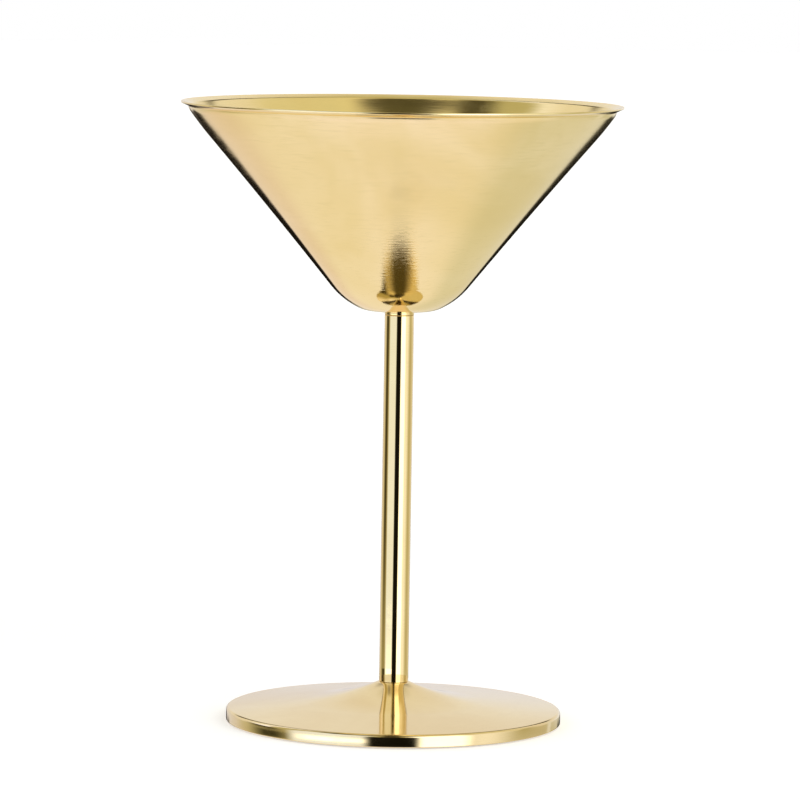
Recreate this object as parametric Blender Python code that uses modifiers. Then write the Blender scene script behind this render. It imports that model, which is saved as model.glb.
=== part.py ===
"""Martini glass: a spun brass bowl on a slim tube stem and a weighted, flared foot.

Everything is turned about the Z axis. The table is at z = 0 and the rim points up. Sizes are in metres.
A tie rod runs up the stem from a nut inside the foot to a boss brazed under the bowl, and clamps
the bowl, the stem and the foot together. A plate and a rubber pad close the foot from below.
"""
import math

import bpy

MM = 0.001

# ---- driving dimensions ----
OVERALL_HEIGHT = 169.5 * MM
RIM_DIAMETER = 120.0 * MM
FOOT_DIAMETER = 91.5 * MM
STEM_DIAMETER = 8.0 * MM

# bowl: spun sheet with a round bottom, a wall that opens slightly, and a turned-out lip
BOWL_WALL = 0.9 * MM
BOWL_SEAT_RADIUS = 6.0 * MM
BOWL_BOTTOM_RADIUS = 25.0 * MM
BOWL_LOW_ANGLE = math.radians(38.0)
BOWL_HIGH_ANGLE = math.radians(42.0)
LIP_REACH = 1.7 * MM
LIP_NECK_HEIGHT = 0.9 * MM
LIP_ANGLE = math.radians(58.0)

# stem and the parts inside it
STEM_WALL = 0.8 * MM
ROD_DIAMETER = 3.0 * MM
BOWL_BOSS_FLANGE = 1.0 * MM
BOWL_BOSS_SHANK = 9.0 * MM
BOWL_BOSS_TAPPED_DEPTH = 8.0 * MM
FOOT_BOSS_SPIGOT = 9.0 * MM

# foot: spun shell, its boss, washer, nut, weight, plate and pad
FOOT_WALL = 1.2 * MM
FOOT_EDGE_HEIGHT = 3.5 * MM
FOOT_EDGE_RADIUS = 0.9 * MM
FOOT_CONE_ANGLE = math.radians(5.5)
FOOT_FLARE_RADIUS = 68.0 * MM
FOOT_FLARE_REACH = 25.0 * MM
FOOT_BOSS_RADIUS = 7.0 * MM
WASHER_DIAMETER = 7.0 * MM
WASHER_THICKNESS = 0.5 * MM
NUT_ACROSS_FLATS = 5.5 * MM
NUT_HEIGHT = 2.4 * MM
ROD_PAST_NUT = 0.3 * MM
WEIGHT_EDGE = 0.8 * MM
PLATE_THICKNESS = 0.8 * MM
PAD_THICKNESS = 1.2 * MM
PAD_PROUD = 0.4 * MM
PAD_INSET = 2.0 * MM

# ---- fits ----
SEAM = 0.3 * MM       # gap where two pieces seat on or in each other
CLEARANCE = 0.6 * MM  # radial room round a piece that nothing needs to touch

# ---- finish of the model ----
WIDE_STEPS = 64
SLIM_STEPS = 32
SHARP = math.radians(40.0)
MERGE = 0.00001

COLLECTION = "martini_glass"
CUTTERS = "martini_glass_cutters"


# ---- collections, materials and turned shapes ----
def clear_scene():
    for thing in list(bpy.data.objects):
        bpy.data.objects.remove(thing, do_unlink=True)


def collection(name):
    found = bpy.data.collections.get(name)
    if found is None:
        found = bpy.data.collections.new(name)
        bpy.context.scene.collection.children.link(found)
    return found


def material(name, colour, roughness, metallic):
    """A plain Principled surface."""
    made = bpy.data.materials.new(name)
    made.use_nodes = True
    shader = made.node_tree.nodes["Principled BSDF"]
    shader.inputs["Base Color"].default_value = (*colour, 1.0)
    shader.inputs["Roughness"].default_value = roughness
    shader.inputs["Metallic"].default_value = metallic
    return made


def turned(name, outline, closed, steps, surface):
    """Spin a list of (radius, height) points about Z.

    The outline runs down its outer side. A closed outline makes a ring; an open one starts and ends
    on the axis and makes a body without a hole.
    """
    points = [(radius, 0.0, height) for radius, height in outline]
    edges = [(index, index + 1) for index in range(len(points) - 1)]
    if closed:
        edges.append((len(points) - 1, 0))
    mesh = bpy.data.meshes.new(name)
    mesh.from_pydata(points, edges, [])
    piece = bpy.data.objects.new(name, mesh)
    collection(COLLECTION).objects.link(piece)
    screw = piece.modifiers.new("Spin", "SCREW")
    screw.axis = "Z"
    screw.angle = 2.0 * math.pi
    screw.steps = steps
    screw.render_steps = steps
    screw.use_merge_vertices = True
    screw.merge_threshold = MERGE
    screw.use_smooth_shade = True
    piece.data.materials.append(surface)
    return piece


def arc(centre, radius, start, end, count):
    """Points of an arc in the (radius, height) plane, its angles measured from +X towards +Z."""
    points = []
    for index in range(count + 1):
        angle = start + (end - start) * index / count
        points.append((centre[0] + radius * math.cos(angle), centre[1] + radius * math.sin(angle)))
    return points


# ---- bowl ----
def bowl_skin(depth):
    """The bowl's surface from its seat to the root of its lip, `depth` inside the outer skin.

    Heights count from the underside of the seat. The bottom is a sphere cut flat by the seat, the
    wall leaves it at the low angle and opens steadily to the high angle, and a short upright neck
    turns into the lip. A point is shifted inwards along the skin's normal there.
    """
    bottom_count, wall_count, lip_count = 7, 3, 2
    centre_height = math.sqrt(BOWL_BOTTOM_RADIUS ** 2 - BOWL_SEAT_RADIUS ** 2)
    inner_radius = BOWL_BOTTOM_RADIUS - depth
    first = math.acos((centre_height - depth) / inner_radius)
    last = math.pi / 2 - BOWL_LOW_ANGLE
    points = []
    for index in range(bottom_count + 1):
        swing = first + (last - first) * index / bottom_count
        points.append((inner_radius * math.sin(swing), centre_height - inner_radius * math.cos(swing)))

    # the wall is an arc whose half angle grows from the low to the high value at the neck
    neck_radius = RIM_DIAMETER / 2 - LIP_REACH
    wall_start = (BOWL_BOTTOM_RADIUS * math.cos(BOWL_LOW_ANGLE),
                  centre_height - BOWL_BOTTOM_RADIUS * math.sin(BOWL_LOW_ANGLE))
    sweep = (neck_radius - wall_start[0]) / (math.cos(BOWL_LOW_ANGLE) - math.cos(BOWL_HIGH_ANGLE))
    for index in range(1, wall_count + 1):
        angle = BOWL_LOW_ANGLE + (BOWL_HIGH_ANGLE - BOWL_LOW_ANGLE) * index / wall_count
        radius = wall_start[0] + sweep * (math.cos(BOWL_LOW_ANGLE) - math.cos(angle))
        height = wall_start[1] + sweep * (math.sin(angle) - math.sin(BOWL_LOW_ANGLE))
        points.append((radius - depth * math.cos(angle), height + depth * math.sin(angle)))

    # the neck is upright on the outside and turns over into the lip within the sheet's own thickness
    neck_height = wall_start[1] + sweep * (math.sin(BOWL_HIGH_ANGLE) - math.sin(BOWL_LOW_ANGLE))
    turn_centre = (neck_radius, neck_height + LIP_NECK_HEIGHT)
    for index in range(lip_count + 1):
        angle = LIP_ANGLE * index / lip_count
        points.append((turn_centre[0] - depth * math.cos(angle), turn_centre[1] + depth * math.sin(angle)))
    return points


def bowl_outline():
    """Inner skin up from the axis, round the lip, and down the outer skin to the axis again."""
    inner = bowl_skin(BOWL_WALL)
    outer = bowl_skin(0.0)
    half = BOWL_WALL / 2
    root = outer[-1]
    lip_middle = (root[0] - half * math.cos(LIP_ANGLE), root[1] + half * math.sin(LIP_ANGLE))
    end_radius = RIM_DIAMETER / 2 - half
    run = (end_radius - lip_middle[0]) / math.sin(LIP_ANGLE)
    end = (end_radius, lip_middle[1] + run * math.cos(LIP_ANGLE))
    roll = arc(end, half, math.pi - LIP_ANGLE, -LIP_ANGLE, 6)
    return [(0.0, BOWL_WALL)] + inner + roll + outer[::-1] + [(0.0, 0.0)]


def bowl_height():
    return max(height for _, height in bowl_outline())


def lifted(outline, height):
    return [(radius, level + height) for radius, level in outline]


# ---- foot ----
def foot_top(radius, depth=0.0):
    """Height of the foot's upper skin at a radius, or of a skin that lies `depth` beneath it."""
    cone_start = FOOT_DIAMETER / 2 - FOOT_EDGE_RADIUS
    edge_level = PAD_PROUD + FOOT_EDGE_HEIGHT
    reach_level = edge_level + (cone_start - FOOT_FLARE_REACH) * math.tan(FOOT_CONE_ANGLE)
    if radius >= FOOT_FLARE_REACH:
        angle = FOOT_CONE_ANGLE
        level = edge_level + (cone_start - radius) * math.tan(FOOT_CONE_ANGLE)
    else:
        angle = math.asin(math.sin(FOOT_CONE_ANGLE) + (FOOT_FLARE_REACH - radius) / FOOT_FLARE_RADIUS)
        level = reach_level + FOOT_FLARE_RADIUS * (math.cos(FOOT_CONE_ANGLE) - math.cos(angle))
    return level - depth / math.cos(angle)


def spread(start, end, count):
    return [start + (end - start) * index / count for index in range(count + 1)]


# ---- heights and radii that the pieces share ----
STEM_RADIUS = STEM_DIAMETER / 2
SPIGOT_RADIUS = STEM_RADIUS - STEM_WALL - SEAM
BORE_RADIUS = ROD_DIAMETER / 2 + SEAM
LAND_RADIUS = STEM_RADIUS + SEAM
HOLE_RADIUS = SPIGOT_RADIUS + SEAM
LAND_LEVEL = foot_top(LAND_RADIUS)
SEAT_LEVEL = OVERALL_HEIGHT - bowl_height()
FLANGE_TOP = SEAT_LEVEL - SEAM
FLANGE_BOTTOM = FLANGE_TOP - BOWL_BOSS_FLANGE
STEM_TOP = FLANGE_BOTTOM - SEAM
STEM_BOTTOM = LAND_LEVEL + SEAM
SHANK_BOTTOM = FLANGE_BOTTOM - BOWL_BOSS_SHANK
ROD_TOP = SHANK_BOTTOM + BOWL_BOSS_TAPPED_DEPTH - SEAM
PLATE_BOTTOM = PAD_THICKNESS + SEAM
PLATE_TOP = PLATE_BOTTOM + PLATE_THICKNESS
ROD_BOTTOM = PLATE_TOP + CLEARANCE
NUT_BOTTOM = ROD_BOTTOM + ROD_PAST_NUT
NUT_TOP = NUT_BOTTOM + NUT_HEIGHT
WASHER_BOTTOM = NUT_TOP + SEAM
WASHER_TOP = WASHER_BOTTOM + WASHER_THICKNESS
FOOT_BOSS_BOTTOM = WASHER_TOP + SEAM
SKIRT_INSIDE = FOOT_DIAMETER / 2 - FOOT_WALL


# ---- the pieces ----
def make_bowl():
    surface = material("bowl_brass", (0.83, 0.68, 0.38), 0.30, 1.0)
    turned("bowl", lifted(bowl_outline(), SEAT_LEVEL), False, WIDE_STEPS, surface)


def make_bowl_boss():
    """A flange under the bowl, the stem's own diameter, with a tapped shank inside the stem."""
    surface = material("bowl_boss_brass", (0.80, 0.62, 0.28), 0.18, 1.0)
    edge = 0.15 * MM
    tapped_top = SHANK_BOTTOM + BOWL_BOSS_TAPPED_DEPTH
    outline = [(0.0, FLANGE_TOP), (STEM_RADIUS - edge, FLANGE_TOP), (STEM_RADIUS, FLANGE_TOP - edge),
               (STEM_RADIUS, FLANGE_BOTTOM + edge), (STEM_RADIUS - edge, FLANGE_BOTTOM),
               (SPIGOT_RADIUS, FLANGE_BOTTOM), (SPIGOT_RADIUS, SHANK_BOTTOM + edge),
               (SPIGOT_RADIUS - edge, SHANK_BOTTOM), (BORE_RADIUS, SHANK_BOTTOM),
               (BORE_RADIUS, tapped_top), (0.0, tapped_top)]
    turned("bowl_boss", outline, False, SLIM_STEPS, surface)


def make_stem_tube():
    surface = material("stem_tube_brass", (0.86, 0.70, 0.36), 0.06, 1.0)
    edge = 0.15 * MM
    inside = STEM_RADIUS - STEM_WALL
    outline = [(inside, STEM_TOP), (STEM_RADIUS - edge, STEM_TOP), (STEM_RADIUS, STEM_TOP - edge),
               (STEM_RADIUS, STEM_BOTTOM + edge), (STEM_RADIUS - edge, STEM_BOTTOM), (inside, STEM_BOTTOM)]
    turned("stem_tube", outline, True, SLIM_STEPS, surface)


def make_tie_rod():
    surface = material("tie_rod_steel", (0.56, 0.57, 0.58), 0.35, 1.0)
    length = ROD_TOP - ROD_BOTTOM
    bpy.ops.mesh.primitive_cylinder_add(vertices=24, radius=ROD_DIAMETER / 2, depth=length,
                                        location=(0.0, 0.0, (ROD_TOP + ROD_BOTTOM) / 2))
    rod = bpy.context.object
    adopt(rod, "tie_rod", surface)
    chamfer(rod, 0.3 * MM)


def make_foot_shell():
    """The flared foot: a flat land for the stem, a hollow flare, a shallow cone and a short skirt."""
    surface = material("foot_shell_brass", (0.84, 0.72, 0.48), 0.16, 1.0)
    outer_radius = FOOT_DIAMETER / 2
    edge_level = PAD_PROUD + FOOT_EDGE_HEIGHT
    cone_start = outer_radius - FOOT_EDGE_RADIUS
    flare = spread(LAND_RADIUS, FOOT_FLARE_REACH, 6)
    top = [(radius, foot_top(radius)) for radius in flare] + [(cone_start, edge_level)]
    edge_centre = (cone_start, edge_level - FOOT_EDGE_RADIUS)
    edge = arc(edge_centre, FOOT_EDGE_RADIUS, math.pi / 2 - FOOT_CONE_ANGLE, 0.0, 4)[1:]
    small = 0.25 * MM
    skirt = [(outer_radius, PAD_PROUD + small), (outer_radius - small, PAD_PROUD),
             (SKIRT_INSIDE, PAD_PROUD)]
    under_corner = (SKIRT_INSIDE, foot_top(SKIRT_INSIDE, FOOT_WALL))
    under = [(radius, foot_top(radius, FOOT_WALL)) for radius in flare[::-1]]
    land = [(HOLE_RADIUS, LAND_LEVEL - FOOT_WALL), (HOLE_RADIUS, LAND_LEVEL)]
    turned("foot_shell", top + edge + skirt + [under_corner] + under + land, True, WIDE_STEPS, surface)


def make_foot_boss():
    """A collar under the shell, shaped to the flare, with a spigot that centres the stem."""
    surface = material("foot_boss_brass", (0.80, 0.62, 0.28), 0.22, 1.0)
    top = LAND_LEVEL + FOOT_BOSS_SPIGOT
    edge = 0.3 * MM
    depth = FOOT_WALL + SEAM
    seat = [(radius, foot_top(radius, depth)) for radius in spread(LAND_RADIUS, FOOT_BOSS_RADIUS, 2)]
    outline = [(BORE_RADIUS, top), (SPIGOT_RADIUS - edge, top), (SPIGOT_RADIUS, top - edge),
               (SPIGOT_RADIUS, LAND_LEVEL - depth)] + seat
    outline += [(FOOT_BOSS_RADIUS, FOOT_BOSS_BOTTOM), (BORE_RADIUS, FOOT_BOSS_BOTTOM)]
    turned("foot_boss", outline, True, SLIM_STEPS, surface)


def make_washer():
    surface = material("washer_steel", (0.60, 0.60, 0.61), 0.30, 1.0)
    outer = WASHER_DIAMETER / 2
    outline = [(BORE_RADIUS, WASHER_TOP), (outer, WASHER_TOP), (outer, WASHER_BOTTOM),
               (BORE_RADIUS, WASHER_BOTTOM)]
    turned("washer", outline, True, SLIM_STEPS, surface)


def make_nut():
    """A hexagon with its corners eased, bored for the rod."""
    surface = material("nut_steel", (0.58, 0.58, 0.60), 0.32, 1.0)
    middle = (NUT_BOTTOM + NUT_TOP) / 2
    corner = NUT_ACROSS_FLATS / 2 / math.cos(math.pi / 6)
    bpy.ops.mesh.primitive_cylinder_add(vertices=6, radius=corner, depth=NUT_HEIGHT,
                                        location=(0.0, 0.0, middle))
    nut = bpy.context.object
    adopt(nut, "clamp_nut", surface)
    chamfer(nut, 0.25 * MM)
    bpy.ops.mesh.primitive_cylinder_add(vertices=24, radius=BORE_RADIUS, depth=NUT_HEIGHT * 2,
                                        location=(0.0, 0.0, middle))
    cutter = bpy.context.object
    move_to(cutter, CUTTERS)
    cutter.name = "clamp_nut_bore_cutter"
    cutter.display_type = "WIRE"
    cutter.hide_render = True
    bore = nut.modifiers.new("Bore", "BOOLEAN")
    bore.operation = "DIFFERENCE"
    bore.solver = "EXACT"
    bore.object = cutter


def make_weight():
    """A steel ring on the plate. Its top follows the shell, and it stops where the hollow gets thin."""
    surface = material("foot_weight_steel", (0.36, 0.36, 0.37), 0.45, 1.0)
    bottom = PLATE_TOP + SEAM
    depth = FOOT_WALL + SEAM
    inner = FOOT_BOSS_RADIUS + CLEARANCE
    cone_over_reach = foot_top(FOOT_FLARE_REACH, depth) - (bottom + WEIGHT_EDGE)
    outer = FOOT_FLARE_REACH + cone_over_reach / math.tan(FOOT_CONE_ANGLE)
    top = [(radius, foot_top(radius, depth)) for radius in spread(inner, FOOT_FLARE_REACH, 4)]
    outline = top + [(outer, bottom + WEIGHT_EDGE), (outer, bottom), (inner, bottom)]
    turned("foot_weight", outline, True, WIDE_STEPS, surface)


def make_base_plate():
    surface = material("base_plate_brass", (0.78, 0.62, 0.32), 0.28, 1.0)
    outer = SKIRT_INSIDE - SEAM
    outline = [(0.0, PLATE_TOP), (outer, PLATE_TOP), (outer, PLATE_BOTTOM), (0.0, PLATE_BOTTOM)]
    turned("base_plate", outline, False, WIDE_STEPS, surface)


def make_base_pad():
    surface = material("base_pad_rubber", (0.03, 0.03, 0.032), 0.75, 0.0)
    outer = SKIRT_INSIDE - PAD_INSET
    edge = 0.2 * MM
    outline = [(0.0, PAD_THICKNESS), (outer, PAD_THICKNESS), (outer, edge), (outer - edge, 0.0), (0.0, 0.0)]
    turned("base_pad", outline, False, WIDE_STEPS, surface)


# ---- handling of primitives ----
def move_to(piece, name):
    for home in list(piece.users_collection):
        home.objects.unlink(piece)
    collection(name).objects.link(piece)


def adopt(piece, name, surface):
    move_to(piece, COLLECTION)
    piece.name = name
    piece.data.name = name
    piece.data.materials.append(surface)
    piece.data.shade_smooth()
    piece.data.set_sharp_from_angle(angle=SHARP)


def chamfer(piece, width):
    bevel = piece.modifiers.new("Edges", "BEVEL")
    bevel.width = width
    bevel.segments = 1
    bevel.limit_method = "ANGLE"
    bevel.angle_limit = SHARP


def build():
    clear_scene()
    make_bowl()
    make_bowl_boss()
    make_stem_tube()
    make_tie_rod()
    make_foot_shell()
    make_foot_boss()
    make_washer()
    make_nut()
    make_weight()
    make_base_plate()
    make_base_pad()


build()
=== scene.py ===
"""Martini glass in brass: a brushed spun bowl, a mirror-polished tube stem and a flared, weighted foot.

Everything is turned about the Z axis and stands on z = 0, with the rim up. Sizes are in metres.
"""
import math

import bpy
import numpy as np
from mathutils import Matrix, Vector


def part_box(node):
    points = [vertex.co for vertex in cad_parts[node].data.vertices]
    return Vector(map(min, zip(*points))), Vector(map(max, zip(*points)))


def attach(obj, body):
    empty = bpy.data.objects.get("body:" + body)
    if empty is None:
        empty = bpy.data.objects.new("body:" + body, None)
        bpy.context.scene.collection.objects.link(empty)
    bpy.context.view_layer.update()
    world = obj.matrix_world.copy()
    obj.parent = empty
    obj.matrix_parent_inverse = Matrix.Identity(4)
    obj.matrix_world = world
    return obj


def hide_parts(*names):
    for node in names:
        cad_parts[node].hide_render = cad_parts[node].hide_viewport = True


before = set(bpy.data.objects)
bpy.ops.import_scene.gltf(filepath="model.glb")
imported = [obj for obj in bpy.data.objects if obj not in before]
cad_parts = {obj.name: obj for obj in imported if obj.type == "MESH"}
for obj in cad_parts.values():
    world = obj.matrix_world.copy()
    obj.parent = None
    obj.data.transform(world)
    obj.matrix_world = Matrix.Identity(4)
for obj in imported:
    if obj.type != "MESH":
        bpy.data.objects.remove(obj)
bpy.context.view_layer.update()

MM = 0.001
scene = bpy.context.scene
scene.view_settings.view_transform = "Standard"
scene.view_settings.look = "None"


# ---- camera ----
# A long lens far in front of the glass and a little above it, looking slightly down. It leans under a
# degree, as a hand-levelled tripod does.
CAMERA_PLACE = Vector((0.0, -1.3809, 0.2269))
CAMERA_DOWN = math.radians(5.721)
CAMERA_LEAN = math.radians(0.914)
CAMERA_TURN = math.radians(0.022)
SENSOR_WIDTH = 36.0
LENS_LENGTH = 229.3
NEAREST, FARTHEST = 0.05, 40.0

ahead = Vector((math.sin(CAMERA_TURN) * math.cos(CAMERA_DOWN),
                math.cos(CAMERA_TURN) * math.cos(CAMERA_DOWN), -math.sin(CAMERA_DOWN)))
level_right = Vector((math.cos(CAMERA_TURN), -math.sin(CAMERA_TURN), 0.0))
level_up = level_right.cross(ahead)
right = level_right * math.cos(CAMERA_LEAN) + level_up * math.sin(CAMERA_LEAN)
up = level_up * math.cos(CAMERA_LEAN) - level_right * math.sin(CAMERA_LEAN)

lens = bpy.data.cameras.new("camera")
lens.sensor_width = SENSOR_WIDTH
lens.lens = LENS_LENGTH
lens.clip_start, lens.clip_end = NEAREST, FARTHEST
camera = bpy.data.objects.new("camera", lens)
scene.collection.objects.link(camera)
camera.matrix_world = Matrix.Translation(CAMERA_PLACE) @ Matrix((right, up, -ahead)).transposed().to_4x4()
scene.camera = camera


# ---- table ----
# A wide, plain, almost white table top, so evenly lit that only a breath of shadow lies under the foot.
# It is clear from below, and lies a hair under the pad.
def link_or_set(tree, socket, value):
    """A value that is a socket is linked, and any other is set."""
    if isinstance(value, bpy.types.NodeSocket):
        tree.links.new(value, socket)
    else:
        socket.default_value = value


def add_node(tree, kind, inputs=(), **settings):
    """A node with its settings. Inputs are (name or index, value) pairs."""
    made = tree.nodes.new("ShaderNode" + kind)
    for name, value in settings.items():
        setattr(made, name, value)
    for name, value in inputs:
        link_or_set(tree, made.inputs[name], value)
    return made


def sum_of(tree, kind, *values):
    """The result of a Math node's operation on one, two or three values."""
    return add_node(tree, "Math", list(enumerate(values)), operation=kind).outputs[0]


def vector_of(tree, kind, *values, out=0):
    """The result of a Vector Math node's operation: output 0 is a vector, output 1 a number."""
    return add_node(tree, "VectorMath", list(enumerate(values)), operation=kind).outputs[out]


def ease(tree, value, start, end, low=0.0, high=1.0):
    """Low where the value is under start, high where it is over end, and a smooth step between."""
    pairs = [("Value", value), ("From Min", start), ("From Max", end), ("To Min", low), ("To Max", high)]
    return add_node(tree, "MapRange", pairs, interpolation_type="SMOOTHSTEP").outputs[0]


def blend_colours(tree, factor, first, second):
    """The first colour where the factor is 0, the second where it is 1, and a mix between."""
    made = tree.nodes.new("ShaderNodeMix")
    made.data_type = "RGBA"
    link_or_set(tree, made.inputs[0], factor)
    link_or_set(tree, made.inputs[6], first)
    link_or_set(tree, made.inputs[7], second)
    return made.outputs[2]


TABLE_REACH = 6.0
TABLE_DROP = 0.02 * MM
TABLE_TONES = (0.90, 0.90, 0.90, 1.0), (0.92, 0.92, 0.92, 1.0)
TABLE_GRAIN = 40.0
TABLE_ROUGHNESS = 0.9
TABLE_GLOW = 0.42


def table_material():
    """Matt near-white with a slow grain. A little light of its own evens it out, and its back is clear."""
    made = bpy.data.materials.new("table_white")
    made.use_nodes = True
    tree = made.node_tree
    shader = tree.nodes["Principled BSDF"]
    grain = add_node(tree, "TexNoise", [("Vector", add_node(tree, "TexCoord").outputs["Object"]),
                                        ("Scale", TABLE_GRAIN), ("Detail", 3.0)])
    shade = blend_colours(tree, grain.outputs[0], *TABLE_TONES)
    tree.links.new(shade, shader.inputs["Base Color"])
    shader.inputs["Roughness"].default_value = TABLE_ROUGHNESS
    shader.inputs["Specular IOR Level"].default_value = 0.0
    shader.inputs["Emission Color"].default_value = (1.0, 1.0, 1.0, 1.0)
    shader.inputs["Emission Strength"].default_value = TABLE_GLOW
    behind = add_node(tree, "NewGeometry").outputs["Backfacing"]
    clear = add_node(tree, "BsdfTransparent").outputs[0]
    either_side = add_node(tree, "MixShader", [(0, behind), (1, shader.outputs[0]), (2, clear)])
    tree.links.new(either_side.outputs[0], tree.nodes["Material Output"].inputs["Surface"])
    return made


reach = TABLE_REACH * np.array([[-1, -1], [1, -1], [1, 1], [-1, 1]])
table_mesh = bpy.data.meshes.new("table_top")
table_mesh.from_pydata([(x, y, -TABLE_DROP) for x, y in reach], [], [(0, 1, 2, 3)])
table_mesh.materials.append(table_material())
table_top = bpy.data.objects.new("table_top", table_mesh)
scene.collection.objects.link(table_top)
table_top.visible_glossy = False


# ---- studio light ----
# Soft light from large pale cards that stand round the glass, with dark gaps between them. Polished
# brass shows these as stripes. Directions are degrees: azimuth 0 is in front, + to the right.
def card_mask():
    """A group: 1 inside a card of soft edges round a centre direction, 0 outside it."""
    made = bpy.data.node_groups.new("card_mask", "ShaderNodeTree")
    names = ("Azimuth", "Elevation", "Azimuth Centre", "Azimuth Half", "Azimuth Soft",
             "Elevation Centre", "Elevation Half", "Elevation Soft")
    for name in names:
        made.interface.new_socket(name, in_out="INPUT", socket_type="NodeSocketFloat")
    made.interface.new_socket("Mask", in_out="OUTPUT", socket_type="NodeSocketFloat")
    given = made.nodes.new("NodeGroupInput").outputs
    given_out = made.nodes.new("NodeGroupOutput")
    masks = []
    for axis, turn in (("Azimuth", True), ("Elevation", False)):
        away = sum_of(made, "SUBTRACT", given[axis], given[axis + " Centre"])
        if turn:
            away = sum_of(made, "WRAP", away, 180.0, -180.0)
        away = sum_of(made, "ABSOLUTE", away)
        start = sum_of(made, "SUBTRACT", given[axis + " Half"], given[axis + " Soft"])
        end = sum_of(made, "ADD", given[axis + " Half"], given[axis + " Soft"])
        masks.append(ease(made, away, start, end, 1.0, 0.0))
    made.links.new(sum_of(made, "MULTIPLY", *masks), given_out.inputs[0])
    return made


# Each card: its centre, half width and softness along the first angle, the same along the second, and
# its brightness as red, green and blue. A later card stands in front of the earlier ones. Round cards
# are placed by azimuth and elevation.
ROUND_CARDS = [
    ("pale table below", 0, 400, 1, -90, 68, 7, (0.97, 0.92, 0.91)),
    ("pale table in front", 0, 70, 30, -56, 20, 14, (1.06, 1.00, 1.14)),
    ("table, far right", 132, 40, 20, -36, 22, 10, (0.79, 0.78, 0.72)),
    ("table, far left", -144, 24, 12, -27, 13, 8, (0.89, 0.79, 0.78)),
    ("wall behind", 180, 66, 14, 20, 26, 8, (0.90, 0.86, 0.79)),
    ("wall behind, low", 180, 40, 12, 1, 8, 6, (0.92, 0.93, 0.98)),
    ("left wall", -158, 26, 10, -4, 12, 8, (0.80, 0.76, 0.76)),
    ("left dark gap", -99, 15, 10, 0, 8.4, 1.5, (0.07, 0.06, 0.03)),
    ("left dark gap, low", -94, 16, 13, -12, 2.9, 0.5, (0.05, 0.045, 0.02)),
    ("left softbox", -46, 29, 6, 12, 34, 4, (1.02, 1.14, 1.45)),
    ("left softbox, low", -42, 25, 9, -11, 2.2, 0.6, (2.4, 2.4, 2.5)),
    ("right side", 66, 20, 18, 6, 30, 6, (1.15, 1.18, 1.25)),
    ("right softbox", 34, 20, 6, 12, 34, 4, (2.2, 2.3, 2.6)),
    ("right strip", 137, 3, 2, 0, 20, 3, (0.85, 0.86, 0.85)),
    ("front gap", 0, 18, 4, -10, 24, 4, (0.008, 0.007, 0.005)),
    ("front gap, high", -1, 7, 3, 36, 24, 4, (0.06, 0.05, 0.03)),
    ("left line behind", -154, 9, 3, 42, 21, 4, (0.05, 0.04, 0.02)),
    ("right line behind", 154, 9, 3, 42, 21, 4, (0.05, 0.04, 0.02)),
    ("left gap behind, high", -172.5, 5.5, 2, -10, 4.8, 1.5, (0.010, 0.008, 0.006)),
    ("left gap behind, low", -164, 8, 2, -16, 6, 1.5, (0.010, 0.008, 0.006)),
    ("right gap behind, high", 172.5, 5.5, 2, -10, 4.8, 1.5, (0.012, 0.010, 0.007)),
    ("right gap behind, low", 165, 7, 2, -14.5, 5, 1.5, (0.012, 0.010, 0.007)),
]
# Roof cards are placed by the angle to the side of the upright plane through the camera, and by the
# angle over the top from the front.
ROOF_CARDS = [
    ("roof, left", -60, 36, 10, 90, 32, 10, (0.56, 0.53, 0.32)),
    ("roof, left, at the back", -50, 38, 10, 132, 24, 8, (1.25, 1.30, 1.65)),
    ("roof, right", 45, 36, 6, 88, 40, 10, (0.82, 0.78, 0.58)),
    ("roof, middle", -1, 22, 5, 78, 10, 5, (0.92, 0.86, 0.62)),
    ("roof slot", -9, 26, 5, 64, 10, 4, (0.05, 0.04, 0.02)),
    ("roof slot, left", -26, 7, 4, 81, 8, 4, (0.06, 0.05, 0.02)),
    ("roof slot, middle", 0, 9, 4, 75, 8, 4, (0.10, 0.09, 0.04)),
]
ROOM = (0.55, 0.51, 0.30, 1.0)

world = bpy.data.worlds.new("studio")
scene.world = world
world.use_nodes = True
sky = world.node_tree
sky.nodes.clear()
direction = add_node(sky, "SeparateXYZ", [(0, add_node(sky, "TexCoord").outputs["Generated"])]).outputs
frontward = sum_of(sky, "MULTIPLY", direction[1], -1.0)
azimuth = sum_of(sky, "DEGREES", sum_of(sky, "ARCTAN2", direction[0], frontward))
elevation = sum_of(sky, "DEGREES", sum_of(sky, "ARCSINE", direction[2]))
sideways = sum_of(sky, "DEGREES", sum_of(sky, "ARCSINE", direction[0]))
over_top = sum_of(sky, "DEGREES", sum_of(sky, "ARCTAN2", direction[2], frontward))
mask_group = card_mask()
hung = [(sideways, over_top, card) for card in ROOF_CARDS]
hung += [(azimuth, elevation, card) for card in ROUND_CARDS]
light = ROOM
for first, second, (name, *place, colour) in hung:
    card = add_node(sky, "Group", node_tree=mask_group, label=name)
    for socket, value in zip(card.inputs, (first, second, *place)):
        link_or_set(sky, socket, value)
    light = blend_colours(sky, card.outputs[0], light, (*colour, 1.0))
studio = add_node(sky, "Background", [("Color", light), ("Strength", 1.0)])
plain = add_node(sky, "Background", [("Color", (1.0, 1.0, 1.0, 1.0)), ("Strength", 1.0)])
seen = add_node(sky, "LightPath").outputs["Is Camera Ray"]
either = add_node(sky, "MixShader", [(0, seen), (1, studio.outputs[0]), (2, plain.outputs[0])])
sky.links.new(either.outputs[0], add_node(sky, "OutputWorld").inputs[0])


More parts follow.
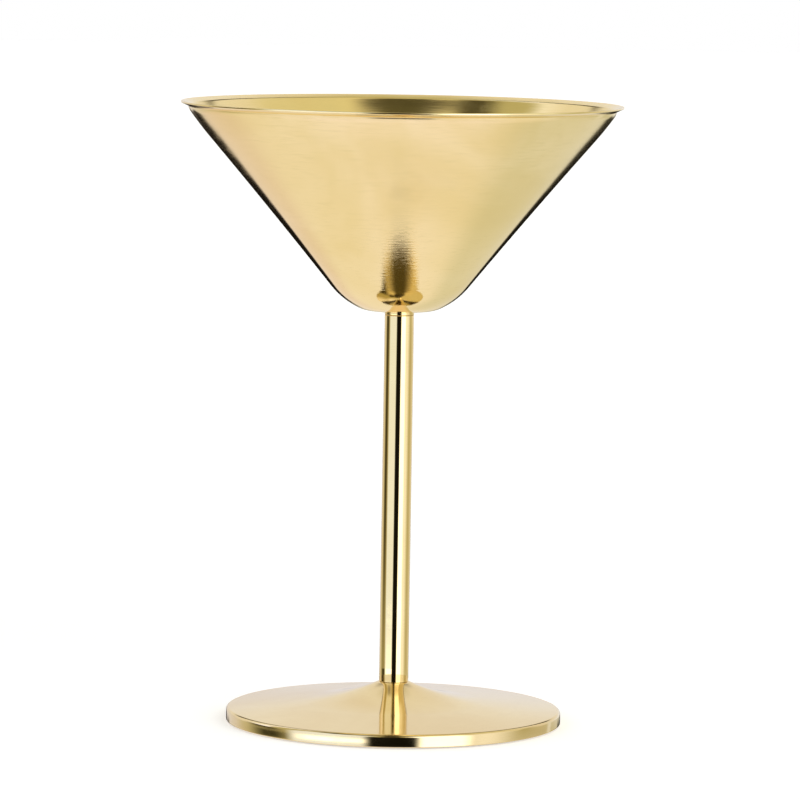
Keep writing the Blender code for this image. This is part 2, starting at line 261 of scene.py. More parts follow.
# ---- bowl ----
# The bowl is spun from one sheet of brass over a cone with a round nose, and its lip is turned out.
# Both faces are brushed on the lathe, which leaves fine lines round the axis, and the bottom is buffed.
def turned_piece(name, outline, around):
    """Every point of the outline (radius, height) is carried round the Z axis in equal steps.

    Point (i, j) is (r_i cos a_j, r_i sin a_j, z_i) with a_j = 2 pi j / around. An outline that starts
    and ends on the axis gets one shared point there; any other outline is a closed loop. The outline
    is walked so that the solid lies on its left, which turns the faces outwards.
    """
    outline = np.asarray(outline, float)
    loop = outline[0, 0] > 1e-9
    r, z = outline[:, 0], outline[:, 1]
    if (r * np.roll(z, -1) - np.roll(r, -1) * z).sum() < 0.0:
        outline = outline[::-1]
        r, z = outline[:, 0], outline[:, 1]
    rings = outline if loop else outline[1:-1]
    angle = 2.0 * np.pi * np.arange(around) / around
    x = rings[:, :1] * np.cos(angle)
    y = rings[:, :1] * np.sin(angle)
    height = np.repeat(rings[:, 1:], around, axis=1)
    points = np.stack([x, y, height], axis=-1).reshape(-1, 3)
    count = len(rings)
    row = np.arange(count if loop else count - 1)[:, None]
    step = np.arange(around)[None, :]
    here, there = row * around, ((row + 1) % count) * around
    after = (step + 1) % around
    quads = np.stack([here + step, here + after, there + after, there + step], axis=-1).reshape(-1, 4)
    faces = quads.tolist()
    if not loop:
        ends = [[0.0, 0.0, outline[0, 1]], [0.0, 0.0, outline[-1, 1]]]
        first, last = len(points), len(points) + 1
        points = np.vstack([points, ends])
        low, high = np.arange(around), (count - 1) * around + np.arange(around)
        faces += np.stack([np.full(around, first), np.roll(low, -1), low], axis=-1).tolist()
        faces += np.stack([np.full(around, last), high, np.roll(high, -1)], axis=-1).tolist()
    return mesh_piece(name, points, faces)


SHARP_FROM = math.radians(38.0)


def mesh_piece(name, points, faces):
    """A mesh object at the origin, smooth but for edges that turn by more than the sharp angle."""
    mesh = bpy.data.meshes.new(name)
    mesh.from_pydata(points.tolist(), [], faces)
    mesh.validate()
    mesh.shade_smooth()
    mesh.set_sharp_from_angle(angle=SHARP_FROM)
    piece = bpy.data.objects.new(name, mesh)
    scene.collection.objects.link(piece)
    return piece


def bend(centre, radius, start, end, count):
    """Points on an arc: centre plus radius times (cos a, sin a), a running from start to end."""
    swing = np.linspace(start, end, count)
    return np.stack([centre[0] + radius * np.cos(swing), centre[1] + radius * np.sin(swing)], axis=-1)


def rounded(corners, radii, count=5):
    """A loop or line of corners, each replaced by an arc of its radius that is tangent to both sides.

    The arc's centre lies on the corner's bisector, at radius / sin(half angle) from the corner.
    """
    corners = np.asarray(corners, float)
    before, after = np.roll(corners, 1, axis=0), np.roll(corners, -1, axis=0)
    made = []
    for corner, back, on, radius in zip(corners, before, after, radii):
        if radius <= 0.0:
            made.append(corner[None, :])
            continue
        to_back = (back - corner) / np.linalg.norm(back - corner)
        to_on = (on - corner) / np.linalg.norm(on - corner)
        half = 0.5 * math.acos(float(np.clip(to_back @ to_on, -1.0, 1.0)))
        reach_along = radius / math.tan(half)
        middle = (to_back + to_on) / np.linalg.norm(to_back + to_on)
        centre = corner + middle * radius / math.sin(half)
        start, end = corner + to_back * reach_along - centre, corner + to_on * reach_along - centre
        part = np.linspace(0.0, 1.0, count)[:, None]
        sweep = math.pi - 2.0 * half
        arc = (np.sin((1.0 - part) * sweep) * start + np.sin(part * sweep) * end) / math.sin(sweep)
        made.append(centre + arc)
    return np.vstack(made)


def finish_piece(piece, finish, slot, *nodes):
    """The piece takes its material, moves with the glass and stands for the solids of the same name."""
    piece.data.materials.append(finish)
    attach(piece, "root")
    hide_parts(*nodes)


def lathe_lines():
    """A group: fine lines round the axis, broken up along their length.

    The noise is read at (k cos a, k sin a, m (r + z)): few changes round the axis, many across it.
    """
    made = bpy.data.node_groups.new("lathe_lines", "ShaderNodeTree")
    made.interface.new_socket("Place", in_out="INPUT", socket_type="NodeSocketVector")
    for name in ("Breaks Round", "Lines per Metre", "Detail"):
        made.interface.new_socket(name, in_out="INPUT", socket_type="NodeSocketFloat")
    made.interface.new_socket("Height", in_out="OUTPUT", socket_type="NodeSocketFloat")
    given = made.nodes.new("NodeGroupInput").outputs
    given_out = made.nodes.new("NodeGroupOutput")
    flat = vector_of(made, "MULTIPLY", given["Place"], (1.0, 1.0, 0.0))
    radius = vector_of(made, "LENGTH", flat, out=1)
    way = vector_of(made, "NORMALIZE", flat)
    way = add_node(made, "VectorMath", [(0, way), (3, given["Breaks Round"])], operation="SCALE").outputs[0]
    rise = add_node(made, "SeparateXYZ", [(0, given["Place"])]).outputs[2]
    across = sum_of(made, "MULTIPLY", sum_of(made, "ADD", radius, rise), given["Lines per Metre"])
    spot = vector_of(made, "ADD", way, add_node(made, "CombineXYZ", [(2, across)]).outputs[0])
    noise = add_node(made, "TexNoise", [("Vector", spot), ("Scale", 1.0), ("Detail", given["Detail"]),
                                        ("Roughness", 0.6)])
    made.links.new(noise.outputs[0], given_out.inputs[0])
    return made


def brass_patches():
    """A group: slow, cloudy changes in the tone of brass, from polishing, handling and lacquer."""
    made = bpy.data.node_groups.new("brass_patches", "ShaderNodeTree")
    made.interface.new_socket("Place", in_out="INPUT", socket_type="NodeSocketVector")
    made.interface.new_socket("Patch Scale", in_out="INPUT", socket_type="NodeSocketFloat")
    for name in ("Tone", "Smudge"):
        made.interface.new_socket(name, in_out="OUTPUT", socket_type="NodeSocketFloat")
    given = made.nodes.new("NodeGroupInput").outputs
    given_out = made.nodes.new("NodeGroupOutput")
    wide = add_node(made, "TexNoise", [("Vector", given["Place"]), ("Scale", given["Patch Scale"]),
                                       ("Detail", 3.0), ("Roughness", 0.55), ("Distortion", 0.6)])
    made.links.new(ease(made, wide.outputs[0], 0.32, 0.68), given_out.inputs["Tone"])
    fine = add_node(made, "TexNoise", [("Vector", given["Place"]),
                                       ("Scale", sum_of(made, "MULTIPLY", given["Patch Scale"], 3.7)),
                                       ("Detail", 5.0), ("Roughness", 0.62)])
    made.links.new(ease(made, fine.outputs[0], 0.50, 0.75), given_out.inputs["Smudge"])
    return made


lathe_group = lathe_lines()
patch_group = brass_patches()
DULLED = 0.93
GROOVE_TINT = 0.35


def brass(name, light_tone, deep_tone, lines, patches, rough, brushed, turn_marks, buffed=(-1.0, 0.0, 1.0)):
    """Polished or brushed brass, worked on the lathe.

    The tone drifts from the light to the deep one in patches, lathe lines and smudges change the
    roughness between two values, and the same lines are a fine relief, whose strength and depth are
    the turn marks. Lines are their breaks round the axis, their number per metre and their detail.
    Brushed is how far the gloss is drawn out across the lines. Buffed is two heights and a share: the
    roughness is multiplied by the share under the first height, and left alone over the second.
    """
    made = bpy.data.materials.new(name)
    made.use_nodes = True
    tree = made.node_tree
    shader = tree.nodes["Principled BSDF"]
    shader.inputs["Metallic"].default_value = 1.0
    place = add_node(tree, "TexCoord").outputs["Object"]
    breaks, per_metre, detail = lines
    grooves = add_node(tree, "Group", [("Place", place), ("Breaks Round", breaks),
                                       ("Lines per Metre", per_metre), ("Detail", detail)],
                       node_tree=lathe_group).outputs["Height"]
    clouds = add_node(tree, "Group", [("Place", place), ("Patch Scale", patches)],
                      node_tree=patch_group).outputs
    tone = blend_colours(tree, clouds["Tone"], (*light_tone, 1.0), (*deep_tone, 1.0))
    dulled = tuple(DULLED * part for part in deep_tone)
    groove_mask = ease(tree, grooves, 0.52, 0.72, 0.0, GROOVE_TINT)
    tree.links.new(blend_colours(tree, groove_mask, tone, (*dulled, 1.0)), shader.inputs["Base Color"])
    low, high = rough
    wear = sum_of(tree, "ADD", sum_of(tree, "MULTIPLY", clouds["Smudge"], 0.5),
                  sum_of(tree, "MULTIPLY", grooves, 0.5))
    height = add_node(tree, "SeparateXYZ", [(0, place)]).outputs[2]
    buffing = ease(tree, height, buffed[0], buffed[1], buffed[2], 1.0)
    tree.links.new(sum_of(tree, "MULTIPLY", ease(tree, wear, 0.1, 0.7, low, high), buffing),
                   shader.inputs["Roughness"])
    relief = add_node(tree, "Bump", [("Strength", turn_marks[0]), ("Distance", turn_marks[1]),
                                     ("Height", grooves)])
    tree.links.new(relief.outputs[0], shader.inputs["Normal"])
    if brushed:
        shader.inputs["Anisotropic"].default_value = brushed
        shader.inputs["Anisotropic Rotation"].default_value = 0.25
        round_axis = vector_of(tree, "NORMALIZE", vector_of(tree, "CROSS_PRODUCT", (0.0, 0.0, 1.0), place))
        tree.links.new(round_axis, shader.inputs["Tangent"])
    return made


BOWL_WALL = 0.9 * MM
BOWL_LIFT = 1.0 * MM
BOWL_SEAT_RADIUS = 7.2 * MM
BOWL_NOSE_RADIUS = 9.9 * MM
BOWL_NOSE_ANGLE = math.radians(63.6)
BOWL_BOTTOM_RADIUS = 21.8 * MM
BOWL_LOW_ANGLE = math.radians(39.0)
BOWL_MIDDLE_ANGLE = math.radians(40.66)
BOWL_HIGH_ANGLE = math.radians(35.3)
BOWL_MIDDLE_SHARE = 0.861
LIP_REACH = 1.95 * MM
NECK_RADIUS = 3.7 * MM
NECK_ANGLE = math.radians(12.0)
LIP_ANGLE = math.radians(66.0)
LIP_TURN_RADIUS = 0.2 * MM
LIP_THICKNESS = 0.5 * MM
LIP_INSIDE_RADIUS = 1.2 * MM
LIP_EASE = 0.16 * MM
BUFFED_TO = 12.0 * MM
BRUSHED_FROM = 46.0 * MM
BUFFED_SHARE = 0.32

bowl_low, bowl_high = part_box("bowl")
rim_radius = bowl_high.x


def bowl_outside():
    """The outer skin from the seat to the lip's corner: points, slopes from upright, and the neck's row.

    It is a chain of arcs. From slope a to slope b an arc of radius R moves by R (cos a - cos b) outwards
    and R (sin b - sin a) up. R is below zero where the slope falls on the way up: in the nose, the
    bottom, the upper wall and the neck. The lower wall and the tight turn to the lip flare outwards.
    """
    bottom_reach = (BOWL_NOSE_RADIUS * math.cos(BOWL_NOSE_ANGLE)
                    + BOWL_BOTTOM_RADIUS * (math.cos(BOWL_LOW_ANGLE) - math.cos(BOWL_NOSE_ANGLE)))
    neck_reach = NECK_RADIUS * (math.cos(NECK_ANGLE) - math.cos(BOWL_HIGH_ANGLE))
    wall_reach = rim_radius - LIP_REACH - neck_reach - bottom_reach - BOWL_SEAT_RADIUS
    low_reach = BOWL_MIDDLE_SHARE * wall_reach
    low_sweep = low_reach / (math.cos(BOWL_LOW_ANGLE) - math.cos(BOWL_MIDDLE_ANGLE))
    high_sweep = (wall_reach - low_reach) / (math.cos(BOWL_HIGH_ANGLE) - math.cos(BOWL_MIDDLE_ANGLE))
    wall = [(-BOWL_NOSE_RADIUS, BOWL_NOSE_ANGLE, 14), (-BOWL_BOTTOM_RADIUS, BOWL_LOW_ANGLE, 22),
            (low_sweep, BOWL_MIDDLE_ANGLE, 26), (-high_sweep, BOWL_HIGH_ANGLE, 16)]
    lip = [(-NECK_RADIUS, NECK_ANGLE, 12), (LIP_TURN_RADIUS, LIP_ANGLE, 10)]
    points, slopes = np.array([[BOWL_SEAT_RADIUS, 0.0]]), np.array([math.pi / 2])
    for radius, end, count in wall + lip:
        slope = np.linspace(slopes[-1], end, count + 1)[1:]
        out, rise = math.cos(slopes[-1]) - np.cos(slope), np.sin(slope) - math.sin(slopes[-1])
        points = np.vstack([points, points[-1] + radius * np.stack([out, rise], axis=-1)])
        slopes = np.append(slopes, slope)
    return points, slopes, 1 + sum(count for _, _, count in wall)


def bowl_profile():
    """Down the outside from the lip's end to the axis, and up the inside again.

    The inner skin is the outer one moved inwards along its normal, by the wall. From the neck on it
    runs straight up to the lip's own upper face, and a round corner joins the two. The lip's end is
    cut upright, with its corners eased.
    """
    outer, slope, neck_row = bowl_outside()
    inner = (outer + BOWL_WALL * np.stack([-np.cos(slope), np.sin(slope)], axis=-1))[:neck_row]
    wall_way = np.array([math.sin(BOWL_HIGH_ANGLE), math.cos(BOWL_HIGH_ANGLE)])
    lip_way = np.array([math.sin(LIP_ANGLE), math.cos(LIP_ANGLE)])
    lip_start = outer[-1] + LIP_THICKNESS * np.array([-lip_way[1], lip_way[0]])
    run = np.linalg.solve(np.stack([wall_way, -lip_way], axis=-1), lip_start - inner[-1])[0]
    low_end = outer[-1] + lip_way * (rim_radius - outer[-1, 0]) / lip_way[0]
    high_end = low_end + [0.0, LIP_THICKNESS / lip_way[0]]
    lip = rounded([inner[-1], inner[-1] + run * wall_way, high_end, low_end, outer[-1]],
                  [0.0, LIP_INSIDE_RADIUS, LIP_EASE, LIP_EASE, 0.0], 9)
    start = np.array([[0.0, BOWL_WALL], [0.4 * BOWL_SEAT_RADIUS, BOWL_WALL]])
    end = np.array([[0.6 * BOWL_SEAT_RADIUS, 0.0], [0.0, 0.0]])
    whole = np.vstack([start, inner, lip[1:-1], outer[::-1], end])
    return whole + [0.0, bowl_low.z + BOWL_LIFT]


bowl = turned_piece("bowl_spun", bowl_profile(), around=320)
bowl_finish = brass("bowl_brushed_brass", light_tone=(0.93, 0.77, 0.42), deep_tone=(0.86, 0.69, 0.32),
                    lines=(9.0, 1500.0, 4.0), patches=24.0, rough=(0.14, 0.21), brushed=0.5,
                    turn_marks=(0.32, 0.00003),
                    buffed=(bowl_low.z + BUFFED_TO, bowl_low.z + BRUSHED_FROM, BUFFED_SHARE))
finish_piece(bowl, bowl_finish, "bowl_brass", "bowl")


# ---- bowl boss ----
# A turned brass boss, brazed under the bowl. Its flange shows as a ring above the stem, and its
# tapped shank goes down inside the tube.
FLANGE = 1.0 * MM
FLANGE_EDGE = 0.12 * MM
TAP_STOPS_UNDER = 1.0 * MM
BORE_EASE = 0.1 * MM
SHANK_EASE = 0.15 * MM
SHANK_GAP = 0.05 * MM
ROD_RADIUS = 1.5 * MM
STEM_WALL = 0.8 * MM
BRAZE = 0.04 * MM

boss_low, boss_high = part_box("bowl_boss")
stem_radius = boss_high.x
flange_top = bowl_low.z + BOWL_LIFT - BRAZE
flange_low = flange_top - FLANGE
shank_radius = stem_radius - STEM_WALL - SHANK_GAP
bore = ROD_RADIUS + SHANK_GAP
tapped_top = flange_low - TAP_STOPS_UNDER
boss_corners = [(0.0, tapped_top), (bore, tapped_top), (bore, boss_low.z), (shank_radius, boss_low.z),
                (shank_radius, flange_low), (stem_radius, flange_low), (stem_radius, flange_top),
                (0.0, flange_top)]
boss_radii = [0.0, BORE_EASE, SHANK_EASE, SHANK_EASE, 0.0, FLANGE_EDGE, FLANGE_EDGE, 0.0]
boss = turned_piece("bowl_boss_turned", rounded(boss_corners, boss_radii), around=96)
boss_finish = brass("boss_turned_brass", light_tone=(0.86, 0.67, 0.32), deep_tone=(0.78, 0.57, 0.23),
                    lines=(3.0, 9000.0, 3.0), patches=60.0, rough=(0.10, 0.20), brushed=0.0,
                    turn_marks=(0.15, 0.00002))
finish_piece(boss, boss_finish, "fitting_brass", "bowl_boss")


# ---- stem ----
# A length of 8 mm brass tube, polished to a mirror and faintly marked by the polishing wheel. Its
# ends are eased and it is held between the bowl's boss and the foot.
JOINT_GAP = 0.05 * MM
STEM_EDGE = 0.18 * MM
STEM_INSIDE_EDGE = 0.05 * MM
STEM_RINGS = 24

foot_low, foot_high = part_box("foot_shell")
stem_top = flange_low - JOINT_GAP
stem_bottom = foot_high.z + JOINT_GAP
stem_inside = stem_radius - STEM_WALL
stem_corners = [(stem_inside, stem_top), (stem_radius, stem_top)]
stem_corners += [(stem_radius, level) for level in np.linspace(stem_top, stem_bottom, STEM_RINGS + 2)[1:-1]]
stem_corners += [(stem_radius, stem_bottom), (stem_inside, stem_bottom)]
stem_radii = [STEM_INSIDE_EDGE, STEM_EDGE] + [0.0] * STEM_RINGS + [STEM_EDGE, STEM_INSIDE_EDGE]
stem = turned_piece("stem_polished", rounded(stem_corners, stem_radii), around=160)
stem_finish = brass("stem_mirror_brass", light_tone=(0.88, 0.70, 0.36), deep_tone=(0.86, 0.67, 0.33),
                    lines=(2.0, 5000.0, 2.0), patches=45.0, rough=(0.03, 0.08), brushed=0.0,
                    turn_marks=(0.04, 0.00001))
finish_piece(stem, stem_finish, "stem_brass", "stem_tube")


# ---- foot ----
# The foot is spun from thicker sheet: a flare up to the stem, a shallow cone, and a short upright
# skirt with a rounded edge. It is polished almost to a mirror.
FOOT_WALL = 1.2 * MM
FOOT_EDGE_HEIGHT = 3.5 * MM
FOOT_EDGE_RADIUS = 0.9 * MM
FOOT_SLOPE = math.radians(5.5)
FLARE_RADIUS = 68.0 * MM
FLARE_REACH = 25.0 * MM
SKIRT_EASE = 0.25 * MM
SKIRT_INSIDE_CORNER = 1.2 * MM
LAND_BEYOND_STEM = 0.3 * MM

foot_radius = foot_high.x
land_radius = stem_radius + LAND_BEYOND_STEM


def foot_skin(radius, depth):
    """Points of the skin `depth` under the foot's upper one, at the radii given for the upper one.

    Outside the flare's reach the height falls steadily at the foot's slope. Inside it the sine of the
    slope grows evenly towards the axis, which is an arc of the flare's radius.
    """
    cone_start = foot_radius - FOOT_EDGE_RADIUS
    edge_level = foot_low.z + FOOT_EDGE_HEIGHT
    inside = np.maximum(FLARE_REACH - radius, 0.0)
    slope = np.arcsin(math.sin(FOOT_SLOPE) + inside / FLARE_RADIUS)
    cone = edge_level + (cone_start - np.maximum(radius, FLARE_REACH)) * math.tan(FOOT_SLOPE)
    height = cone + FLARE_RADIUS * (math.cos(FOOT_SLOPE) - np.cos(slope))
    return np.stack([radius - depth * np.sin(slope), height - depth * np.cos(slope)], axis=-1)


def foot_profile():
    """Down the upper skin, round the edge, down the skirt, and back inside under the lower skin.

    The edge is an arc tangent to the cone and to the upright skirt. The lower skin is the upper one
    moved along its normal by the wall, and both end at the hole for the spigot.
    """
    cone_start = foot_radius - FOOT_EDGE_RADIUS
    radii = np.concatenate([np.linspace(land_radius, FLARE_REACH, 44),
                            np.linspace(FLARE_REACH, cone_start, 34)[1:]])
    top = foot_skin(radii, 0.0)
    edge = bend((cone_start, top[-1, 1] - FOOT_EDGE_RADIUS), FOOT_EDGE_RADIUS,
                math.pi / 2 - FOOT_SLOPE, 0.0, 15)[1:]
    skirt = bend((foot_radius - SKIRT_EASE, foot_low.z + SKIRT_EASE), SKIRT_EASE, 0.0, -math.pi / 2, 7)
    skirt_inside = foot_radius - FOOT_WALL
    under_radii = radii[::-1][(skirt_inside - radii[::-1]) > SKIRT_INSIDE_CORNER]
    under = foot_skin(under_radii, FOOT_WALL)
    corner_height = under[0, 1] - (skirt_inside - under[0, 0]) * math.tan(FOOT_SLOPE)
    hole = stem_radius - STEM_WALL
    inner = np.array([[skirt_inside, foot_low.z], [skirt_inside, corner_height]])
    land = np.array([[hole, under[-1, 1]], [hole, top[0, 1]]])
    return np.vstack([top, edge, skirt, inner, under, land])


foot = turned_piece("foot_spun", foot_profile(), around=320)
foot_finish = brass("foot_polished_brass", light_tone=(0.88, 0.73, 0.43), deep_tone=(0.81, 0.63, 0.33),
                    lines=(5.0, 4200.0, 3.0), patches=20.0, rough=(0.07, 0.14), brushed=0.4,
                    turn_marks=(0.05, 0.00002))
finish_piece(foot, foot_finish, "foot_brass", "foot_shell")


# ---- tie rod ----
# A zinc-plated steel M3 rod, threaded at both ends. It screws into the bowl's boss and pulls the bowl,
# the stem and the foot together.
THREAD_PITCH = 0.5 * MM
THREAD_DEPTH = 0.28 * MM
STEPS_PER_PITCH = 8
LOW_THREAD = 8.0 * MM
HIGH_THREAD = 10.0 * MM
ROD_POINT = 0.35 * MM

rod_low, rod_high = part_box("tie_rod")


def threaded_rod(name, around=32):
    """The radius at angle a and height z is the rod's, less a triangle wave of (z / pitch - a / 2 pi).

    The wave fades in over one pitch at each end of a thread, and rings lie closer where it runs. Each
    end of the rod is cut to a cone of 45 degrees.
    """
    low_end = rod_low.z + LOW_THREAD
    high_start = rod_high.z - HIGH_THREAD
    fine = THREAD_PITCH / STEPS_PER_PITCH
    height = np.concatenate([np.arange(rod_low.z, low_end, fine), np.linspace(low_end, high_start, 20),
                             np.arange(high_start, rod_high.z, fine)[1:], [rod_high.z]])
    angle = 2.0 * np.pi * np.arange(around) / around
    turn = (height[:, None] / THREAD_PITCH - angle[None, :] / (2.0 * np.pi)) % 1.0
    wave = 1.0 - np.abs(2.0 * turn - 1.0)
    fade = (np.clip((low_end - height) / THREAD_PITCH, 0.0, 1.0)
            + np.clip((height - high_start) / THREAD_PITCH, 0.0, 1.0))
    radius = ROD_RADIUS - THREAD_DEPTH * wave * fade[:, None]
    point = np.minimum((height - rod_low.z), (rod_high.z - height))[:, None] + ROD_RADIUS - ROD_POINT
    radius = np.minimum(radius, point)
    grid = np.stack([radius * np.cos(angle), radius * np.sin(angle),
                     np.repeat(height[:, None], around, axis=1)], axis=-1).reshape(-1, 3)
    ends = [[0.0, 0.0, height[0]], [0.0, 0.0, height[-1]]]
    count = len(height)
    row, step = np.arange(count - 1)[:, None] * around, np.arange(around)[None, :]
    after = (step + 1) % around
    faces = np.stack([row + step, row + after, row + around + after, row + around + step], axis=-1)
    faces = faces.reshape(-1, 4).tolist()
    low, high = np.arange(around), (count - 1) * around + np.arange(around)
    faces += np.stack([np.full(around, len(grid)), np.roll(low, -1), low], axis=-1).tolist()
    faces += np.stack([np.full(around, len(grid) + 1), high, np.roll(high, -1)], axis=-1).tolist()
    return mesh_piece(name, np.vstack([grid, ends]), faces)


def steel(name, tone, stain, scale, rough, lines):
    """Plated or oiled steel: a mottled plating of two tones, dull specks and faint lathe lines."""
    made = bpy.data.materials.new(name)
    made.use_nodes = True
    tree = made.node_tree
    shader = tree.nodes["Principled BSDF"]
    shader.inputs["Metallic"].default_value = 1.0
    place = add_node(tree, "TexCoord").outputs["Object"]
    spangle = add_node(tree, "TexNoise", [("Vector", place), ("Scale", scale), ("Detail", 4.0),
                                          ("Distortion", 1.2)]).outputs[0]
    tree.links.new(blend_colours(tree, ease(tree, spangle, 0.38, 0.66), (*tone, 1.0), (*stain, 1.0)),
                   shader.inputs["Base Color"])
    tree.links.new(ease(tree, spangle, 0.3, 0.7, *rough), shader.inputs["Roughness"])
    grooves = add_node(tree, "Group", [("Place", place), ("Breaks Round", 3.0), ("Lines per Metre", lines),
                                       ("Detail", 2.0)], node_tree=lathe_group).outputs["Height"]
    relief = add_node(tree, "Bump", [("Strength", 0.3), ("Distance", 0.00003), ("Height", grooves)])
    tree.links.new(relief.outputs[0], shader.inputs["Normal"])
    return made


rod = threaded_rod("tie_rod_threaded")
zinc = steel("fastener_zinc_steel", tone=(0.62, 0.63, 0.65), stain=(0.50, 0.50, 0.49), scale=900.0,
             rough=(0.24, 0.42), lines=6000.0)
finish_piece(rod, zinc, "fastener_steel", "tie_rod")


# ---- foot boss ----
# A turned brass collar, shaped to the flare it sits under. Its spigot stands up inside the tube and
# centres the stem on the foot.
SPIGOT_EASE = 0.4 * MM
COLLAR_EASE = 0.4 * MM

fitting_low, fitting_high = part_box("foot_boss")
seat_radii = np.linspace(stem_radius, fitting_high.x, 12)
seat_skin = foot_skin(seat_radii, FOOT_WALL + BRAZE)
fitting_outline = np.vstack([
    rounded([(bore, fitting_low.z), (bore, fitting_high.z), (shank_radius, fitting_high.z),
             (shank_radius, seat_skin[0, 1])], [BORE_EASE, SHANK_EASE, SPIGOT_EASE, 0.0]),
    seat_skin,
    bend((fitting_high.x - COLLAR_EASE, fitting_low.z + COLLAR_EASE), COLLAR_EASE, 0.0, -math.pi / 2, 7)])
fitting = turned_piece("foot_boss_turned", fitting_outline, around=96)
finish_piece(fitting, boss_finish, "fitting_brass", "foot_boss")


# ---- washer and nut ----
# A stamped washer and a hexagon nut, both of zinc-plated steel. They hold the rod's lower end under the
# foot boss and clamp the whole stack.
WASHER_EASES = [0.06 * MM, 0.1 * MM, 0.16 * MM, 0.06 * MM]
NUT_FLAT = 5.5 * MM / 2
NUT_FACE_SHARE = 0.96
NUT_CHAMFER = math.radians(30.0)
NUT_BORE_EASE = 0.12 * MM

washer_low, washer_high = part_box("washer")
washer_corners = [(bore, washer_low.z), (bore, washer_high.z), (washer_high.x, washer_high.z),
                  (washer_high.x, washer_low.z)]
washer = turned_piece("washer_stamped", rounded(washer_corners, WASHER_EASES), around=72)
finish_piece(washer, zinc, "fastener_steel", "washer")

nut_low, nut_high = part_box("clamp_nut")


def hexagon_nut(name, around=96):
    """The radius at angle a is the hexagon's, flat / cos(a to the nearest flat), cut by two cones.

    The cones start on each face, a little inside the flats, and slope away at the chamfer's angle.
    """
    thick = nut_high.z - nut_low.z
    corner = NUT_FLAT / math.cos(math.pi / 6)
    face = NUT_FACE_SHARE * NUT_FLAT
    drop = (corner - face) * math.tan(NUT_CHAMFER)
    level = np.concatenate([np.linspace(0.0, drop, 7), np.linspace(drop, thick - drop, 4)[1:-1],
                            np.linspace(thick - drop, thick, 7)])
    angle = 2.0 * np.pi * np.arange(around) / around
    to_flat = (angle + math.pi / 6) % (math.pi / 3) - math.pi / 6
    hexagon = NUT_FLAT / np.cos(to_flat)
    nearest = np.minimum(level, level[-1] - level)
    cone = face + nearest / math.tan(NUT_CHAMFER)
    side = np.minimum(hexagon[None, :], cone[:, None])
    mouth = bore + NUT_BORE_EASE
    bore_rows = np.array([[mouth, 0.0], [bore, NUT_BORE_EASE],
                          [bore, thick - NUT_BORE_EASE], [mouth, thick]])
    radius = np.vstack([side, np.repeat(bore_rows[::-1, :1], around, axis=1)])
    height = np.concatenate([level, bore_rows[::-1, 1]]) + nut_low.z
    points = np.stack([radius * np.cos(angle), radius * np.sin(angle),
                       np.repeat(height[:, None], around, axis=1)], axis=-1).reshape(-1, 3)
    count = len(height)
    row, step = np.arange(count)[:, None], np.arange(around)[None, :]
    here, there, after = row * around, ((row + 1) % count) * around, (step + 1) % around
    faces = np.stack([here + step, here + after, there + after, there + step], axis=-1).reshape(-1, 4)
    return mesh_piece(name, points, faces.tolist())


nut = hexagon_nut("clamp_nut_hexagon")
finish_piece(nut, zinc, "fastener_steel", "clamp_nut")


# ---- foot weight ----
# A ring turned from oiled steel, which lies on the base plate in the foot's hollow. It follows the
# shell's underside and keeps the glass steady.
WEIGHT_CLEARS_COLLAR = 0.6 * MM
WEIGHT_CLEARS_SHELL = 0.3 * MM
WEIGHT_RIM_HEIGHT = 0.8 * MM
WEIGHT_EASE = 0.2 * MM

weight_low, weight_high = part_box("foot_weight")
weight_inner = fitting_high.x + WEIGHT_CLEARS_COLLAR
weight_outer = weight_high.x
weight_rim = weight_low.z + WEIGHT_RIM_HEIGHT
weight_top = foot_skin(np.linspace(weight_inner, weight_outer, 40), FOOT_WALL + WEIGHT_CLEARS_SHELL)
weight_top = weight_top[(weight_top[:, 1] > weight_rim) & (weight_top[:, 0] > weight_inner)]
weight_outline = np.vstack([[[weight_inner, weight_low.z], [weight_inner, weight_top[0, 1]]], weight_top,
                            [[weight_outer, weight_rim]],
                            bend((weight_outer - WEIGHT_EASE, weight_low.z + WEIGHT_EASE), WEIGHT_EASE,
                                 0.0, -math.pi / 2, 5)])
weight = turned_piece("foot_weight_ring", weight_outline, around=128)
dark_steel = steel("weight_oiled_steel", tone=(0.40, 0.40, 0.41), stain=(0.27, 0.26, 0.25), scale=240.0,
                   rough=(0.36, 0.52), lines=2600.0)
finish_piece(weight, dark_steel, "weight_steel", "foot_weight")


# ---- base plate ----
# A thin disc pressed from brass sheet. It is held in the skirt, closes the foot from below and carries
# the weight.
PLATE_EASE = 0.25 * MM

plate_low, plate_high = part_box("base_plate")
plate_radius = foot_radius - FOOT_WALL - JOINT_GAP
plate_turn = plate_radius - PLATE_EASE
plate_outline = np.vstack([[[0.0, plate_high.z], [0.5 * plate_radius, plate_high.z]],
                           bend((plate_turn, plate_high.z - PLATE_EASE), PLATE_EASE, math.pi / 2, 0.0, 6),
                           bend((plate_turn, plate_low.z + PLATE_EASE), PLATE_EASE, 0.0, -math.pi / 2, 6),
                           [[0.5 * plate_radius, plate_low.z], [0.0, plate_low.z]]])
plate = turned_piece("base_plate_pressed", plate_outline, around=192)
plate_finish = brass("plate_pressed_brass", light_tone=(0.82, 0.65, 0.34), deep_tone=(0.74, 0.56, 0.26),
                     lines=(7.0, 2200.0, 3.0), patches=30.0, rough=(0.22, 0.36), brushed=0.3,
                     turn_marks=(0.2, 0.00004))
finish_piece(plate, plate_finish, "plate_brass", "base_plate")


# ---- base pad ----
# A disc of matt black rubber, glued under the plate. It is moulded with shallow rings for grip, and
# stands a little proud of the skirt.
PAD_RINGS = 9
PAD_GROOVE = 0.25 * MM
PAD_TOP_EASE = 0.15 * MM
PAD_LOW_EASE = 0.3 * MM

pad_low, pad_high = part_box("base_pad")
pad_radius = pad_high.x
pad_top = plate_low.z - BRAZE


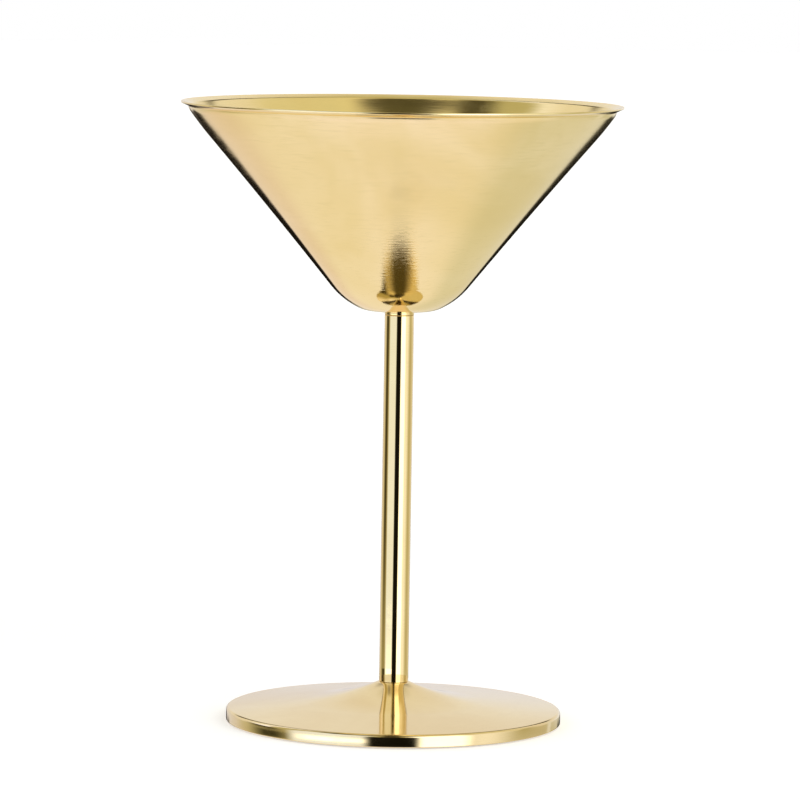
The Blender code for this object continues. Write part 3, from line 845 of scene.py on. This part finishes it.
def pad_profile():
    """The underside has a row of round grooves, n of them between two radii.

    With g running from 0 to 1 from a groove's edge to its middle, its depth is the full one times
    (3 g^2 - 2 g^3).
    """
    radius = np.linspace(0.30 * pad_radius, 0.96 * pad_radius, 260)
    share = (radius - radius[0]) / (radius[-1] - radius[0])
    groove = np.clip(1.0 - 6.0 * np.abs((share * PAD_RINGS) % 1.0 - 0.5), 0.0, 1.0)
    under = np.stack([radius, pad_low.z + PAD_GROOVE * (3.0 * groove ** 2 - 2.0 * groove ** 3)], axis=-1)
    top = [[0.0, pad_top], [0.5 * pad_radius, pad_top]]
    edge_top = bend((pad_radius - PAD_TOP_EASE, pad_top - PAD_TOP_EASE), PAD_TOP_EASE, math.pi / 2, 0.0, 5)
    edge_low = bend((pad_radius - PAD_LOW_EASE, pad_low.z + PAD_LOW_EASE), PAD_LOW_EASE,
                    0.0, -math.pi / 2, 7)
    middle = [[0.15 * pad_radius, pad_low.z], [0.0, pad_low.z]]
    return np.vstack([top, edge_top, edge_low, under[::-1], middle])


def rubber():
    """Matt black rubber: a fine pebble relief, and grey dust that gathers in patches."""
    made = bpy.data.materials.new("pad_black_rubber")
    made.use_nodes = True
    tree = made.node_tree
    shader = tree.nodes["Principled BSDF"]
    place = add_node(tree, "TexCoord").outputs["Object"]
    dust = add_node(tree, "TexNoise", [("Vector", place), ("Scale", 60.0), ("Detail", 6.0)]).outputs[0]
    tone = blend_colours(tree, ease(tree, dust, 0.45, 0.8), (0.018, 0.018, 0.019, 1.0),
                         (0.07, 0.068, 0.065, 1.0))
    tree.links.new(tone, shader.inputs["Base Color"])
    tree.links.new(ease(tree, dust, 0.3, 0.8, 0.62, 0.9), shader.inputs["Roughness"])
    pebble = add_node(tree, "TexVoronoi", [("Vector", place), ("Scale", 2600.0)]).outputs["Distance"]
    relief = add_node(tree, "Bump", [("Strength", 0.4), ("Distance", 0.00006), ("Height", pebble)])
    tree.links.new(relief.outputs[0], shader.inputs["Normal"])
    return made


pad = turned_piece("base_pad_rubber", pad_profile(), around=160)
finish_piece(pad, rubber(), "pad_rubber", "base_pad")
